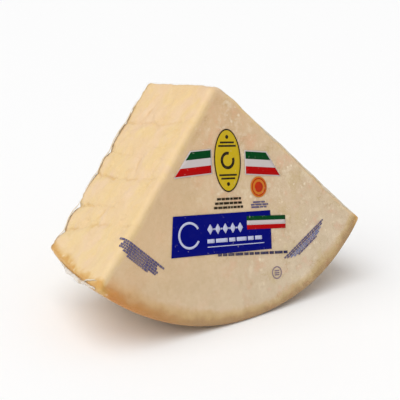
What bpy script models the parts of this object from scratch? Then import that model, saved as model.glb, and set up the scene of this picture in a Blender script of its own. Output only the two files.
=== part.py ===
"""A wedge of hard, grainy cheese in a close-fitting clear vacuum bag.

The wedge is an eighth of a wheel: the wheel was sawn through at half its height,
and each half was split into quarters. So it has a smooth sawn face (the front), two
split faces with shallow steps that meet in a ridge, a barrel-shaped rind below, and
the wheel's own flat face at the back. The bag is drawn tight, so the bag and the
cheese are one closed solid with the bag's outer form.

The mesh is made in the wheel's frame: the origin is the wheel's axis on the sawn
face, +Y runs into the wedge towards the wheel's flat face, and -Z is the wedge's
middle line, from the axis to the rind. The object then leans back by LEAN, and a
small flat spot on the rind stands on the floor.
"""
import bpy
import bmesh
from math import asin, cos, pi, radians, sin
from mathutils import Vector, noise

# Driving dimensions, in metres and radians.
WHEEL_RADIUS = 0.210        # at the sawn face, where the wheel is widest
SLAB_DEPTH = 0.1155         # half the wheel's height
HALF_ANGLE = radians(45.0)  # the wedge is a quarter of the half wheel
RIND_SLOPE = 0.165          # how fast the rind narrows at the sawn face
RIND_BULGE = 1.314          # and how much faster with each metre of depth
RIND_SWELL = 0.0016         # how far the rind stands out of its circle towards the right
SWELL_POWER = 5             # the larger, the nearer to the right tip
SWELL_TURN = 1.15           # above 1, the rind falls in again at the tip
RIDGE_START = 0.0010        # the ridge lies above the axis at the sawn face
RIDGE_SLOPE = 0.133         # and climbs towards the back: the split wandered
RIDGE_TIP = 0.0020          # and ends in a small peak there
LEAN = radians(16.0)        # how far the wedge leans back where it stands
FLAT_CUT = 0.0027           # what the floor flattens off the rind
AXIS_X = -0.0010            # the wheel's axis on the sawn face, in the part's frame
AXIS_Y = -0.0281            # its height follows from the flat spot

# Rounding of the three long edges, and of the front and back outline.
RIDGE_ROUND_FRONT = 0.0105
RIDGE_ROUND_BACK = 0.0055
RIDGE_ROUND_RUN = 0.035     # depth at which the ridge is as sharp as at the back
LEFT_RIND_ROUND = 0.0060
RIGHT_RIND_ROUND = 0.0022
FRONT_ROUND_LEFT = 0.0062
FRONT_ROUND_RIND = 0.0040
FRONT_ROUND_RIGHT = 0.0022
BACK_ROUND = 0.0026
BACK_ROUND_RIND = 0.0045
TIP_ROUND = 0.0014          # front and back, at the sharp right corner
TIP_SHARE = 0.1             # last share of the rind, along which the rounding sharpens
TIP_STRIP = 0.4             # and the share of the right face's last strip

# Steps of the split faces: (share of the radius at the front, share at the back,
# strength at the front, strength at the back, power of its growth between). Each
# runs across the face from the sawn side to the back.
LEFT_STEPS = (
    (0.188, 0.158, 0.20, 0.55, 1.0),
    (0.362, 0.305, 0.00, 0.55, 2.2),
    (0.474, 0.440, 0.40, 0.75, 1.0),
    (0.606, 0.596, 0.00, 1.00, 2.2),
    (0.696, 0.724, 0.30, 1.10, 1.4),
)
RIGHT_STEPS = (
    (0.205, 0.250, 0.00, 0.80, 1.0),
    (0.392, 0.352, 0.10, 1.05, 1.0),
    (0.560, 0.590, 0.00, 0.75, 1.6),
    (0.735, 0.705, 0.10, 1.00, 1.0),
)
# Breaks across the left face, from one step to the next: (share of the radius and
# share of the depth at the upper end, the same at the lower end).
LEFT_BREAKS = (
    (0.335, 0.47, 0.455, 0.40),
    (0.075, 0.66, 0.150, 0.74),
    (0.610, 0.52, 0.690, 0.58),
)
BREAK_DIP = 0.0011
BREAK_REACH = 0.009
STEP_DIP = 0.0030           # how deep a full-strength step bites
STEP_REACH_UP = 0.017       # how far above a step the surface turns in
STEP_REACH_DOWN = 0.012     # and how far below it
STEP_WANDER = 0.0034        # how far a step strays from its line
STEP_WANDER_SIZE = 0.038
STEP_BEND = 2.5             # power: steps run level, then bend towards the back
LEFT_CROWN = 0.0016         # the left face stands proud of its plane at the ridge
SPLIT_WAVE = 0.0007         # slow unevenness of the split faces
SPLIT_WAVE_SIZE = 0.026
SMOOTH_WAVE = 0.0004        # slow unevenness of the sawn face and the rind
SMOOTH_WAVE_SIZE = 0.055
WAVE_STRIP = 0.3            # share of the end strips along which one wave becomes the other

# How finely the mesh is divided.
STRIP_SHARES = (0.0, 0.09, 0.28, 0.50, 0.72, 0.91)
ARC_POINTS = 36
RIDGE_POINTS = 5
CORNER_POINTS = 4
ROUND_RINGS = 3
DEPTH_RINGS = 15
FRONT_CAP_RINGS = 6
BACK_CAP_RINGS = 7
CAP_CROWDING = 0.8          # power: rings of a cap lie closer together at its rim

LEFT_DOWN = Vector((-sin(HALF_ANGLE), -cos(HALF_ANGLE)))   # along the left face, in X and Z
RIGHT_DOWN = Vector((sin(HALF_ANGLE), -cos(HALF_ANGLE)))
LEFT_OUT = Vector((-cos(HALF_ANGLE), sin(HALF_ANGLE)))     # out of the left face
RIGHT_OUT = Vector((cos(HALF_ANGLE), sin(HALF_ANGLE)))
CAP_CENTRE = Vector((0.0, -0.60 * WHEEL_RADIUS))           # the middle of both caps' rings


def rind_radius(depth):
    """The wheel's radius at this depth behind the sawn face."""
    return WHEEL_RADIUS - RIND_SLOPE * depth - RIND_BULGE * depth * depth


def ridge_point(depth):
    """Where the two split faces meet, which climbs along the left face's plane."""
    climb = RIDGE_START + RIDGE_SLOPE * depth + RIDGE_TIP * (depth / SLAB_DEPTH) ** 6
    return -climb * LEFT_DOWN


def ridge_round(depth):
    """The ridge's radius, which is largest at the sawn face."""
    return blend(RIDGE_ROUND_FRONT, RIDGE_ROUND_BACK, depth / RIDGE_ROUND_RUN)


def rind_swell(share):
    """How far the rind stands out of its circle at this share of the arc."""
    return RIND_SWELL * sin(SWELL_TURN * pi * share ** SWELL_POWER)


def step_radius(step, depth):
    """Distance of a step from the axis: level at first, then bending at the back."""
    front_share, back_share = step[0], step[1]
    bend = (depth / SLAB_DEPTH) ** STEP_BEND
    stray = wave((front_share, depth, back_share), STEP_WANDER_SIZE, STEP_WANDER)
    return WHEEL_RADIUS * (front_share + (back_share - front_share) * bend) + stray


def step_strength(step, depth):
    """How strong a step is at this depth: most at the back."""
    at_front, at_back, power = step[2:]
    return at_front + (at_back - at_front) * (depth / SLAB_DEPTH) ** power


def step_relief(steps, radius, depth):
    """Scallops between sharp steps: each step bites in."""
    relief = 0.0
    for step in steps:
        away = radius - step_radius(step, depth)
        reach = STEP_REACH_DOWN if away > 0 else STEP_REACH_UP
        if abs(away) < reach:
            relief -= STEP_DIP * step_strength(step, depth) * (1 - abs(away) / reach) ** 2
    return relief


def left_crown(down, left_end, depth):
    """How far the left face stands proud of its plane: most at the back of the ridge."""
    return LEFT_CROWN * (1 - down / left_end) * depth / SLAB_DEPTH


def break_relief(radius, depth):
    """Shallow breaks that cross the left face between two steps."""
    relief = 0.0
    for top, top_depth, bottom, bottom_depth in LEFT_BREAKS:
        share = (radius / WHEEL_RADIUS - top) / (bottom - top)
        if 0 < share < 1:
            line = SLAB_DEPTH * (top_depth + share * (bottom_depth - top_depth))
            near = max(0.0, 1 - abs(depth - line) / BREAK_REACH)
            relief -= BREAK_DIP * near ** 2 * sin(pi * share)
    return relief


def wave(point, size, height):
    """Slow unevenness that is the same each run."""
    return height * noise.noise(Vector(point) / size)


def blend(a, b, share):
    """From a to b with a soft start and end."""
    share = min(max(share, 0.0), 1.0)
    return a + (b - a) * share * share * (3 - 2 * share)


def outline_keys():
    """The outline's points in order, as (kind, index, share), seen from the front:
    down the left face, along the rind to the right, and up the right face."""
    keys = [("ridge", 0, i / (RIDGE_POINTS + 1)) for i in range(1, RIDGE_POINTS + 1)]
    for strip in range(len(LEFT_STEPS) + 1):
        keys += [("left", strip, share) for share in STRIP_SHARES]
    keys.append(("left", len(LEFT_STEPS), 1.0))
    keys += [("left corner", 0, i / (CORNER_POINTS + 1)) for i in range(1, CORNER_POINTS + 1)]
    keys += [("rind", 0, i / (ARC_POINTS - 1)) for i in range(ARC_POINTS)]
    keys += [("right corner", 0, i / (CORNER_POINTS + 1)) for i in range(1, CORNER_POINTS + 1)]
    keys.append(("right", len(RIGHT_STEPS), 1.0))
    for strip in reversed(range(len(RIGHT_STEPS) + 1)):
        keys += [("right", strip, share) for share in reversed(STRIP_SHARES)]
    return keys


def strip_radius(steps, strip, share, depth, first, last):
    """Distance from the axis of a row that lies between two neighbouring steps."""
    marks = [first] + [step_radius(step, depth) for step in steps] + [last]
    return marks[strip] + share * (marks[strip + 1] - marks[strip])


def turn(start, end, share):
    """A direction on the quarter turn from start to end."""
    angle = share * pi / 2
    return start * cos(angle) + end * sin(angle)


def outline_point(key, depth):
    """Place and outward direction, both in X and Z, of an outline point at a depth."""
    kind, strip, share = key
    radius = rind_radius(depth)
    ridge = ridge_point(depth)
    left_end = radius - LEFT_RIND_ROUND
    right_radius = radius + rind_swell(1.0)
    right_reach = (right_radius * right_radius - ridge.length_squared) ** 0.5
    right_end = right_reach - RIGHT_RIND_ROUND
    top_round = ridge_round(depth)
    left_start = top_round - ridge.length
    if kind == "ridge":
        out = turn(RIGHT_OUT, LEFT_OUT, share)
        centre = ridge + top_round * (LEFT_DOWN + RIGHT_DOWN)
        crown = left_crown(left_start, left_end, depth) * share * share
        return centre + top_round * out + LEFT_OUT * crown, out
    if kind == "left":
        down = strip_radius(LEFT_STEPS, strip, share, depth, left_start, left_end)
        relief = step_relief(LEFT_STEPS, down, depth) + break_relief(down, depth)
        crown = left_crown(down, left_end, depth)
        return LEFT_DOWN * down + LEFT_OUT * (relief + crown), LEFT_OUT
    if kind == "left corner":
        out = turn(LEFT_OUT, LEFT_DOWN, share)
        centre = LEFT_DOWN * left_end - LEFT_OUT * LEFT_RIND_ROUND
        return centre + LEFT_RIND_ROUND * out, out
    if kind == "right corner":
        out = turn(RIGHT_DOWN, RIGHT_OUT, share)
        centre = ridge + RIGHT_DOWN * right_end - RIGHT_OUT * RIGHT_RIND_ROUND
        return centre + RIGHT_RIND_ROUND * out, out
    if kind == "right":
        down = strip_radius(RIGHT_STEPS, strip, share, depth, top_round, right_end)
        place = ridge + RIGHT_DOWN * down + RIGHT_OUT * step_relief(RIGHT_STEPS, down, depth)
        return place, RIGHT_OUT
    left_angle = -HALF_ANGLE + asin(LEFT_RIND_ROUND / radius)
    right_angle = HALF_ANGLE + asin((ridge.length - RIGHT_RIND_ROUND) / right_radius)
    angle = left_angle + share * (right_angle - left_angle)
    out = Vector((sin(angle), -cos(angle)))
    return (radius + rind_swell(share)) * out, out


def right_face_round(key, radius):
    """Radius of an edge of the right face, which sharpens towards its tip."""
    kind, strip, share = key
    if strip < len(RIGHT_STEPS):
        return radius
    return blend(TIP_ROUND, radius, (1 - share) / TIP_STRIP)


def front_round(key):
    """Radius of the front edge: wide on the split side, sharp where the knife went."""
    kind, strip, share = key
    if kind == "ridge":
        return blend(FRONT_ROUND_RIGHT, FRONT_ROUND_LEFT, share)
    if kind == "left":
        return FRONT_ROUND_LEFT
    if kind == "left corner":
        return blend(FRONT_ROUND_LEFT, FRONT_ROUND_RIND, share)
    if kind == "rind":
        return blend(TIP_ROUND, FRONT_ROUND_RIND, (1 - share) / TIP_SHARE)
    if kind == "right corner":
        return TIP_ROUND
    return right_face_round(key, FRONT_ROUND_RIGHT)


def back_round(key):
    """Radius of the back edge: wider along the rind's rim."""
    kind, strip, share = key
    if kind == "rind":
        return blend(TIP_ROUND, BACK_ROUND_RIND, (1 - share) / TIP_SHARE)
    if kind == "left corner":
        return blend(BACK_ROUND, BACK_ROUND_RIND, share)
    if kind == "right corner":
        return TIP_ROUND
    if kind == "right":
        return right_face_round(key, BACK_ROUND)
    return BACK_ROUND


def split_share(key):
    """How much of the split faces' wave a point has: none at their ends."""
    kind, strip, share = key
    if kind not in ("left", "right"):
        return 0.0
    last = len(LEFT_STEPS if kind == "left" else RIGHT_STEPS)
    from_start = share if strip == 0 else 1.0
    from_end = 1 - share if strip == last else 1.0
    return blend(0.0, 1.0, min(from_start, from_end) / WAVE_STRIP)


def side_point(key, depth, inset):
    """A point on the wedge's side, moved in by inset near the front or the back."""
    place, out = outline_point(key, depth)
    here = (place.x, depth, place.y)
    split = split_share(key)
    bump = split * wave(here, SPLIT_WAVE_SIZE, SPLIT_WAVE)
    bump += (1 - split) * wave(here, SMOOTH_WAVE_SIZE, SMOOTH_WAVE)
    place = place + out * (bump - inset)
    return Vector((place.x, depth, place.y))


def side_rings(keys):
    """Rings from the front face's rim, over its rounded edge, to the back's rim."""
    rings = []
    for i in range(ROUND_RINGS + 1):
        angle = i / ROUND_RINGS * pi / 2
        rings.append([side_point(key, front_round(key) * (1 - cos(angle)),
                                 front_round(key) * (1 - sin(angle))) for key in keys])
    for i in range(1, DEPTH_RINGS + 1):
        share = i / (DEPTH_RINGS + 1)
        ring = []
        for key in keys:
            first, last = front_round(key), SLAB_DEPTH - back_round(key)
            ring.append(side_point(key, first + share * (last - first), 0.0))
        rings.append(ring)
    for i in reversed(range(ROUND_RINGS + 1)):
        angle = i / ROUND_RINGS * pi / 2
        rings.append([side_point(key, SLAB_DEPTH - back_round(key) * (1 - cos(angle)),
                                 back_round(key) * (1 - sin(angle))) for key in keys])
    return rings


def cap_rings(rim, depth, count):
    """Rings from the middle of the front or back face out to its rim."""
    rings = []
    for i in range(1, count + 1):
        share = (i / (count + 1)) ** CAP_CROWDING
        ring = []
        for corner in rim:
            x = CAP_CENTRE.x + share * (corner.x - CAP_CENTRE.x)
            z = CAP_CENTRE.y + share * (corner.z - CAP_CENTRE.y)
            bump = wave((x, depth, z), SMOOTH_WAVE_SIZE, SMOOTH_WAVE)
            ring.append(Vector((x, depth + bump * (1 - share ** 4), z)))
        rings.append(ring)
    return rings


def height_above_axis(point):
    """Height of a point of the mesh once the wedge leans, from the mesh's origin."""
    return point.z * cos(LEAN) - point.y * sin(LEAN)


def skin(mesh, rings, front_middle, back_middle):
    """Faces between the rings, and a fan of triangles in the middle of each cap."""
    rows = [[mesh.verts.new(point) for point in ring] for ring in rings]
    count = len(rows[0])
    for row, following in zip(rows, rows[1:]):
        for i in range(count):
            j = (i + 1) % count
            mesh.faces.new((row[i], row[j], following[j], following[i]))
    for row, middle in ((rows[0], front_middle), (rows[-1], back_middle)):
        hub = mesh.verts.new(middle)
        for i in range(count):
            mesh.faces.new((row[i], row[(i + 1) % count], hub))


def stand_flat(mesh):
    """Presses the rind flat where the leaning wedge stands, and returns the floor's
    height from the mesh's origin."""
    up = Vector((0.0, -sin(LEAN), cos(LEAN)))
    floor = min(height_above_axis(v.co) for v in mesh.verts) + FLAT_CUT
    for vertex in mesh.verts:
        sunk = floor - height_above_axis(vertex.co)
        if sunk > 0:
            vertex.co += up * sunk
    return floor


def cheese_material():
    """Pale straw cheese under film."""
    material = bpy.data.materials.new("pale cheese")
    material.use_nodes = True
    shader = material.node_tree.nodes["Principled BSDF"]
    shader.inputs["Base Color"].default_value = (0.72, 0.56, 0.36, 1.0)
    shader.inputs["Roughness"].default_value = 0.38
    shader.inputs["Metallic"].default_value = 0.0
    return material


def make_wedge():
    """The whole wedge, standing where the part's frame puts it."""
    keys = outline_keys()
    sides = side_rings(keys)
    front = cap_rings(sides[0], 0.0, FRONT_CAP_RINGS)
    back = cap_rings(sides[-1], SLAB_DEPTH, BACK_CAP_RINGS)
    mesh = bmesh.new()
    skin(mesh, front + sides + back[::-1],
         Vector((CAP_CENTRE.x, 0.0, CAP_CENTRE.y)),
         Vector((CAP_CENTRE.x, SLAB_DEPTH, CAP_CENTRE.y)))
    bmesh.ops.triangulate(mesh, faces=mesh.faces[:])
    floor = stand_flat(mesh)
    bmesh.ops.recalc_face_normals(mesh, faces=mesh.faces[:])
    data = bpy.data.meshes.new("cheese_wedge")
    mesh.to_mesh(data)
    mesh.free()
    data.shade_smooth()
    data.set_sharp_from_angle(angle=radians(35))
    data.materials.append(cheese_material())
    wedge = bpy.data.objects.new("cheese_wedge", data)
    wedge.location = (AXIS_X, AXIS_Y, -floor)
    wedge.rotation_euler = (-LEAN, 0.0, 0.0)
    bpy.context.scene.collection.objects.link(wedge)
    return wedge


def main():
    for old in list(bpy.data.objects):
        bpy.data.objects.remove(old, do_unlink=True)
    make_wedge()
    bpy.context.view_layer.update()


main()
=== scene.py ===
"""The looks of a wedge of hard, grainy cheese in a clear, printed vacuum bag.

The cheese and the bag are made from the same named sizes as the part's solid, only
much finer. Their meshes are made in the wheel's frame: the origin is the wheel's axis
on the sawn front face, +Y runs into the wedge, and -Z is the wedge's middle line.
WHEEL puts them in the part's frame, where the wedge leans back on its flat spot.
"""
import random
from math import asin, atan2, ceil, cos, exp, hypot, pi, radians, sin, sqrt
import bmesh
import bpy
from mathutils import Matrix, Vector, noise
from mathutils.bvhtree import BVHTree


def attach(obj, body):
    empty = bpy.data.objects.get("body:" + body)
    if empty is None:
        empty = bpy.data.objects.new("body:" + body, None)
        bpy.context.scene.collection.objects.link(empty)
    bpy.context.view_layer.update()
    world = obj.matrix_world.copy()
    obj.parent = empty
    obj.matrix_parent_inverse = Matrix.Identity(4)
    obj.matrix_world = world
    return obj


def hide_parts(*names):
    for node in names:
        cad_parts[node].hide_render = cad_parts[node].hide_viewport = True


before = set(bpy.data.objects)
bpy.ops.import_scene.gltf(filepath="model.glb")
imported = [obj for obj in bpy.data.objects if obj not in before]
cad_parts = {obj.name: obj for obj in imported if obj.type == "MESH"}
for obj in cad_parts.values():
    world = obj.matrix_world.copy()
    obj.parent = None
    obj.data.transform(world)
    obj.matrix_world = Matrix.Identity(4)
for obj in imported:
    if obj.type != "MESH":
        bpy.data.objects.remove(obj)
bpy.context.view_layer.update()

MM = 0.001

# ---- sizes of the wedge

WHEEL_RADIUS = 0.210        # at the sawn face, where the wheel is widest
SLAB_DEPTH = 0.1155         # half the wheel's height
HALF_ANGLE = radians(45.0)  # the wedge is a quarter of the half wheel
RIND_SLOPE = 0.165          # how fast the rind narrows at the sawn face
RIND_BULGE = 1.314          # and how much faster with each metre of depth
RIND_SWELL = 0.0016         # how far the rind stands out of its circle towards the right
SWELL_POWER = 5             # the larger, the nearer to the right tip
SWELL_TURN = 1.15           # above 1, the rind falls in again at the tip
RIDGE_START = 0.0010        # the ridge lies above the axis at the sawn face
RIDGE_SLOPE = 0.133         # and climbs towards the back
RIDGE_TIP = 0.0020          # and ends in a small peak there
RIDGE_TIP_POWER = 6         # the larger, the nearer to the back the peak begins
LEAN = radians(16.0)        # how far the wedge leans back
AXIS_PLACE = Vector((-0.0010, -0.0281, 0.201964))  # the wheel's axis at the sawn face

# Radii of the wedge's rounded edges.
RIDGE_ROUND_FRONT = 0.0105
RIDGE_ROUND_BACK = 0.0055
RIDGE_ROUND_RUN = 0.035     # depth at which the ridge is as sharp as at the back
LEFT_RIND_ROUND = 0.0068    # of the edge between the left face and the rind
LEFT_TIP_ROUND = 0.0032     # the same edge at its back end, sharper than in the solid
LEFT_TIP_RUN = 0.045        # depth over which it sharpens
RIGHT_RIND_ROUND = 0.0022
FRONT_ROUND_LEFT = 0.0062
FRONT_ROUND_CORNER = 0.0052  # at its lower end, less than LEFT_RIND_ROUND
FRONT_ROUND_RIND = 0.0040
FRONT_ROUND_RIDGE = 0.0045  # where the ridge ends
FRONT_ROUND_RIGHT = 0.0022
BACK_ROUND = 0.0026
BACK_ROUND_CORNER = 0.0018  # at the left tip, less than LEFT_TIP_ROUND
BACK_ROUND_RIND = 0.0045
TIP_ROUND = 0.0014          # front and back, at the sharp right tip
TIP_SHARE = 0.1             # share of the arc over which an edge sharpens to its tip
TIP_STRIP = 0.4             # and the share of a face's last strip
SPLIT_FADE = 0.03           # share of the arc over which the rind's looks begin

# Steps: (share of the radius at the front, share at the back, strength at the front,
# strength at the back, power of its growth between).
LEFT_STEPS = (
    (0.188, 0.158, 0.20, 0.55, 1.0),
    (0.362, 0.305, 0.00, 0.55, 2.2),
    (0.474, 0.440, 0.40, 0.75, 1.0),
    (0.606, 0.596, 0.00, 1.00, 2.2),
    (0.696, 0.724, 0.30, 1.10, 1.4),
)
RIGHT_STEPS = (
    (0.205, 0.250, 0.00, 0.80, 1.0),
    (0.392, 0.352, 0.10, 1.05, 1.0),
    (0.560, 0.590, 0.00, 0.75, 1.6),
    (0.735, 0.705, 0.10, 1.00, 1.0),
)
STEPS = {"left": LEFT_STEPS, "right": RIGHT_STEPS}
# Breaks: (radius share and depth share of the upper end, the same of the lower end).
LEFT_BREAKS = (
    (0.335, 0.47, 0.455, 0.40),
    (0.075, 0.66, 0.150, 0.74),
    (0.610, 0.52, 0.690, 0.58),
)
BREAK_DIP = 0.0011          # how deep a break lies
BREAK_REACH = 0.009         # and how far it reaches to both sides
STEP_DIP = 0.0030           # how deep a step of strength 1 lies
STEP_REACH_UP = 0.017
STEP_REACH_DOWN = 0.012
STEP_WANDER = 0.0034        # how far a step's line strays
STEP_WANDER_SIZE = 0.038    # over about this distance
STEP_BEND = 2.5             # the larger, the nearer to the back a step's line bends
STEP_CROWDING = 0.09        # how much rows of points crowd towards the steps
LEFT_CROWN = 0.0016         # how far the left face stands proud of its plane
SPLIT_WAVE = 0.0007         # slow unevenness of the split faces
SPLIT_WAVE_SIZE = 0.026
SMOOTH_WAVE = 0.0004        # and of the sawn face, the rind and the flat side
SMOOTH_WAVE_SIZE = 0.055
WAVE_STRIP = 0.3            # share of a strip over which one gives way to the other
CHIP_WAVE = 0.00035         # and smaller unevenness, which the film follows too
CHIP_WAVE_SIZE = 0.0085

LEFT_DOWN = Vector((-sin(HALF_ANGLE), -cos(HALF_ANGLE)))  # along the left face, in X and Z
RIGHT_DOWN = Vector((sin(HALF_ANGLE), -cos(HALF_ANGLE)))
LEFT_OUT = Vector((-cos(HALF_ANGLE), sin(HALF_ANGLE)))
RIGHT_OUT = Vector((cos(HALF_ANGLE), sin(HALF_ANGLE)))
CAP_CENTRE = Vector((0.0, -0.60 * WHEEL_RADIUS))  # the caps' rings close in on it
CAP_CROWDING = 0.8          # below 1, the rings crowd towards the rim
CAP_WAVE_POWER = 4          # the larger, the nearer to the rim the caps stay uneven
CAP_GRAIN_FADE = 8          # and the larger, the nearer to the rim their grain ends

WHEEL = Matrix.Translation(AXIS_PLACE) @ Matrix.Rotation(-LEAN, 4, "X")
WHEEL_TURN = WHEEL.to_3x3()

# Two skins share the form: the bag is smooth and bridges the steps' clefts, and the
# cheese lies a little inside it, with its grain. Each has its counts of points and
# rings, how softly it rounds the foot of a step, and how far inside the form it lies.
FILM = {
    "strip rows": 12, "arc": 90, "ridge": 7, "corner": 5, "round": 5, "depth": 56, "cap": 16,
    "soft": 0.16, "sink": 0.0, "grain": False,
}
CHEESE = {
    "strip rows": 30, "arc": 150, "ridge": 12, "corner": 8, "round": 7, "depth": 88, "cap": 24,
    "soft": 0.03, "sink": 0.00028, "grain": True,
}
FLAKE_HEIGHT = 0.00055      # soft unevenness of a split face
FLAKE_SIZE = 0.013
FLAKE_NOISE = (0.85, 2.1, 4)  # its falloff, its scale from layer to layer, its layers
FACET_HEIGHT = 0.00125      # and flat flakes in it, tilted against each other
FACET_SIZE = 0.0125
FACET_STRETCH = 0.7         # they are longer in depth
FACET_LEVEL = 0.4           # how much they differ in height
FACET_TILT = 0.8            # and how steep they are
CELL_SPREAD = 97.0          # sets the flakes' middles apart, so that each draws its own tilt
CHIP_HEIGHT = 0.00075       # small chips, here and there
CHIP_SIZE = 0.0046
CHIP_GATHER = 0.021
CHIP_EDGE = 3               # how sharply their patches end
CRUMB_HEIGHT = 0.00022
CRUMB_SIZE = 0.0031
CRUMB_FILL = 1.3            # the larger, the flatter the ground between crumbs
CLEFT_DEPTH = 0.0008        # the narrow cleft at the foot of each step
CLEFT_WIDTH = 0.0016
CREASE_WIDTH = 0.0055       # and the broken strip on both sides of it
LINE_REACH = 3              # how many widths away a cleft's or a strip's edge is
PATCH_MEAN = 0.55           # clefts come and go: their mean strength
PATCH_SWING = 1.1           # how much it varies
PATCH_SIZE = 0.019          # and over what distance
FINE_WANDER = 0.0022        # clefts stray this much in small bends
FINE_WANDER_SIZE = 0.0065
FISSURE_WIDTH = 0.0018      # cracks along the breaks
FISSURE_DEPTH = 0.5
GRAIN_STRIP = 0.3           # share of the last strip over which flakes fade to the rind
SAWN_FLAKES = 0.2           # share of the flakes' height left at the sawn edge
SAWN_RUN = 0.020            # depth over which they reach their full height
SAW_HEIGHT = 0.00007        # long shallow marks of the saw
SAW_SIZE = 0.0036
SAW_STRETCH = 0.22
RIND_PITS = 0.00018
PIT_SIZE = 0.0023
PIT_SHARE = 0.6
HOLLOW_SIZE = 0.03
HOLLOW_SHARE = 0.5


# ---- form of the wedge

def rind_radius(depth):
    """The wheel's radius at this depth behind the sawn face."""
    return WHEEL_RADIUS - RIND_SLOPE * depth - RIND_BULGE * depth * depth


def ridge_point(depth):
    """Where the two split faces meet."""
    climb = RIDGE_START + RIDGE_SLOPE * depth + RIDGE_TIP * (depth / SLAB_DEPTH) ** RIDGE_TIP_POWER
    return -climb * LEFT_DOWN


def left_rind_round(depth):
    """Radius of the edge between the left face and the rind, which sharpens at the back."""
    return blend(LEFT_TIP_ROUND, LEFT_RIND_ROUND, (SLAB_DEPTH - depth) / LEFT_TIP_RUN)


def ridge_round(depth):
    """The ridge's radius, which is largest at the sawn face."""
    return blend(RIDGE_ROUND_FRONT, RIDGE_ROUND_BACK, depth / RIDGE_ROUND_RUN)


def rind_swell(share):
    """How far the rind stands out of its circle at this share of the arc."""
    return RIND_SWELL * sin(SWELL_TURN * pi * share ** SWELL_POWER)


def wave(point, size, height):
    """Slow unevenness that is the same each run."""
    return height * noise.noise(Vector(point) / size)


def blend(a, b, share):
    """From a to b with a soft start and end."""
    share = min(max(share, 0.0), 1.0)
    return a + (b - a) * share * share * (3 - 2 * share)


def step_radius(step, depth):
    """Distance of a step from the axis: level at first, then bending at the back."""
    front_share, back_share = step[0], step[1]
    bend = (depth / SLAB_DEPTH) ** STEP_BEND
    stray = wave((front_share, depth, back_share), STEP_WANDER_SIZE, STEP_WANDER)
    return WHEEL_RADIUS * (front_share + (back_share - front_share) * bend) + stray


def fine_wander(step, depth):
    """Small bends of a step's line, which the part's solid leaves out."""
    return wave((7 * step[0], depth, 5 * step[1]), FINE_WANDER_SIZE, FINE_WANDER)


def step_strength(step, depth):
    """How strong a step is at this depth: most at the back."""
    at_front, at_back, power = step[2:]
    return at_front + (at_back - at_front) * (depth / SLAB_DEPTH) ** power


def step_relief(steps, radius, depth, soft):
    """Scallops between steps, which are as sharp as soft is small."""
    relief = 0.0
    for step in steps:
        away = radius - step_radius(step, depth) - fine_wander(step, depth)
        reach = STEP_REACH_DOWN if away > 0 else STEP_REACH_UP
        near = sqrt((away / reach) ** 2 + soft * soft)
        if near < 1:
            relief -= STEP_DIP * step_strength(step, depth) * (1 - near) ** 2
    return relief


def break_distances(radius, depth):
    """For each break that reaches this far: how far away it is, and how strong here."""
    found = []
    for top, top_depth, bottom, bottom_depth in LEFT_BREAKS:
        share = (radius / WHEEL_RADIUS - top) / (bottom - top)
        if 0 < share < 1:
            line = SLAB_DEPTH * (top_depth + share * (bottom_depth - top_depth))
            found.append((depth - line, sin(pi * share)))
    return found


def break_relief(radius, depth, soft):
    """Shallow breaks that cross the left face between two steps."""
    relief = 0.0
    for away, strength in break_distances(radius, depth):
        near = sqrt((away / BREAK_REACH) ** 2 + soft * soft)
        relief -= BREAK_DIP * max(0.0, 1 - near) ** 2 * strength
    return relief


def fissure(radius, depth):
    """How deep a point lies in a narrow crack along a break, from 0 to about 1."""
    deep = 0.0
    stray = wave((radius, 0.0, 0.0), FINE_WANDER_SIZE, FINE_WANDER)
    for away, strength in break_distances(radius, depth):
        near = (away - stray) / FISSURE_WIDTH
        deep = max(deep, FISSURE_DEPTH * strength * exp(-near * near))
    return deep


def step_nearness(steps, radius, depth, width):
    """How near a point is to a step's line, from 0 to about 1, for a line of this width."""
    most = 0.0
    for step in steps:
        away = (radius - step_radius(step, depth) - fine_wander(step, depth)) / width
        if abs(away) < LINE_REACH:
            here = Vector((step[0] * 3, depth, radius)) / PATCH_SIZE
            patch = PATCH_MEAN + PATCH_SWING * noise.noise(here)
            strength = step_strength(step, depth) * min(max(patch, 0.0), 1.0)
            most = max(most, strength * exp(-away * away))
    return most


def crack_marks(steps, radius, depth):
    """How deep a point lies in a narrow cleft, and how broken the cheese is round it."""
    deep = step_nearness(steps, radius, depth, CLEFT_WIDTH)
    broken = step_nearness(steps, radius, depth, CREASE_WIDTH)
    if steps is LEFT_STEPS:
        deep = max(deep, fissure(radius, depth))
    return deep, broken


NO_MARKS = (0.0, 0.0)


def left_crown(down, left_end, depth):
    """How far the left face stands proud of its plane: most at the back of the ridge."""
    return LEFT_CROWN * (1 - down / left_end) * depth / SLAB_DEPTH


def crowded(count):
    """Shares from 0 up to 1, closer together at both ends, where the steps are."""
    return [i / count - STEP_CROWDING * sin(2 * pi * i / count) for i in range(count)]


def between(count):
    """Shares that divide a stretch evenly, without its ends."""
    return [i / (count + 1) for i in range(1, count + 1)]


def outline_keys(skin):
    """The outline's points in order, as (kind, index, share), seen from the front:
    down the left face, along the rind to the right, and up the right face."""
    rows = crowded(skin["strip rows"])
    keys = [("ridge", 0, share) for share in between(skin["ridge"])]
    for strip in range(len(LEFT_STEPS) + 1):
        keys += [("left", strip, share) for share in rows]
    keys.append(("left", len(LEFT_STEPS), 1.0))
    keys += [("left corner", 0, share) for share in between(skin["corner"])]
    keys += [("rind", 0, i / (skin["arc"] - 1)) for i in range(skin["arc"])]
    keys += [("right corner", 0, share) for share in between(skin["corner"])]
    keys.append(("right", len(RIGHT_STEPS), 1.0))
    for strip in reversed(range(len(RIGHT_STEPS) + 1)):
        keys += [("right", strip, share) for share in reversed(rows)]
    return keys


def strip_radius(steps, strip, share, depth, first, last):
    """Distance from the axis of a row that lies between two neighbouring steps."""
    marks = [first] + [step_radius(step, depth) for step in steps] + [last]
    return marks[strip] + share * (marks[strip + 1] - marks[strip])


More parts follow.
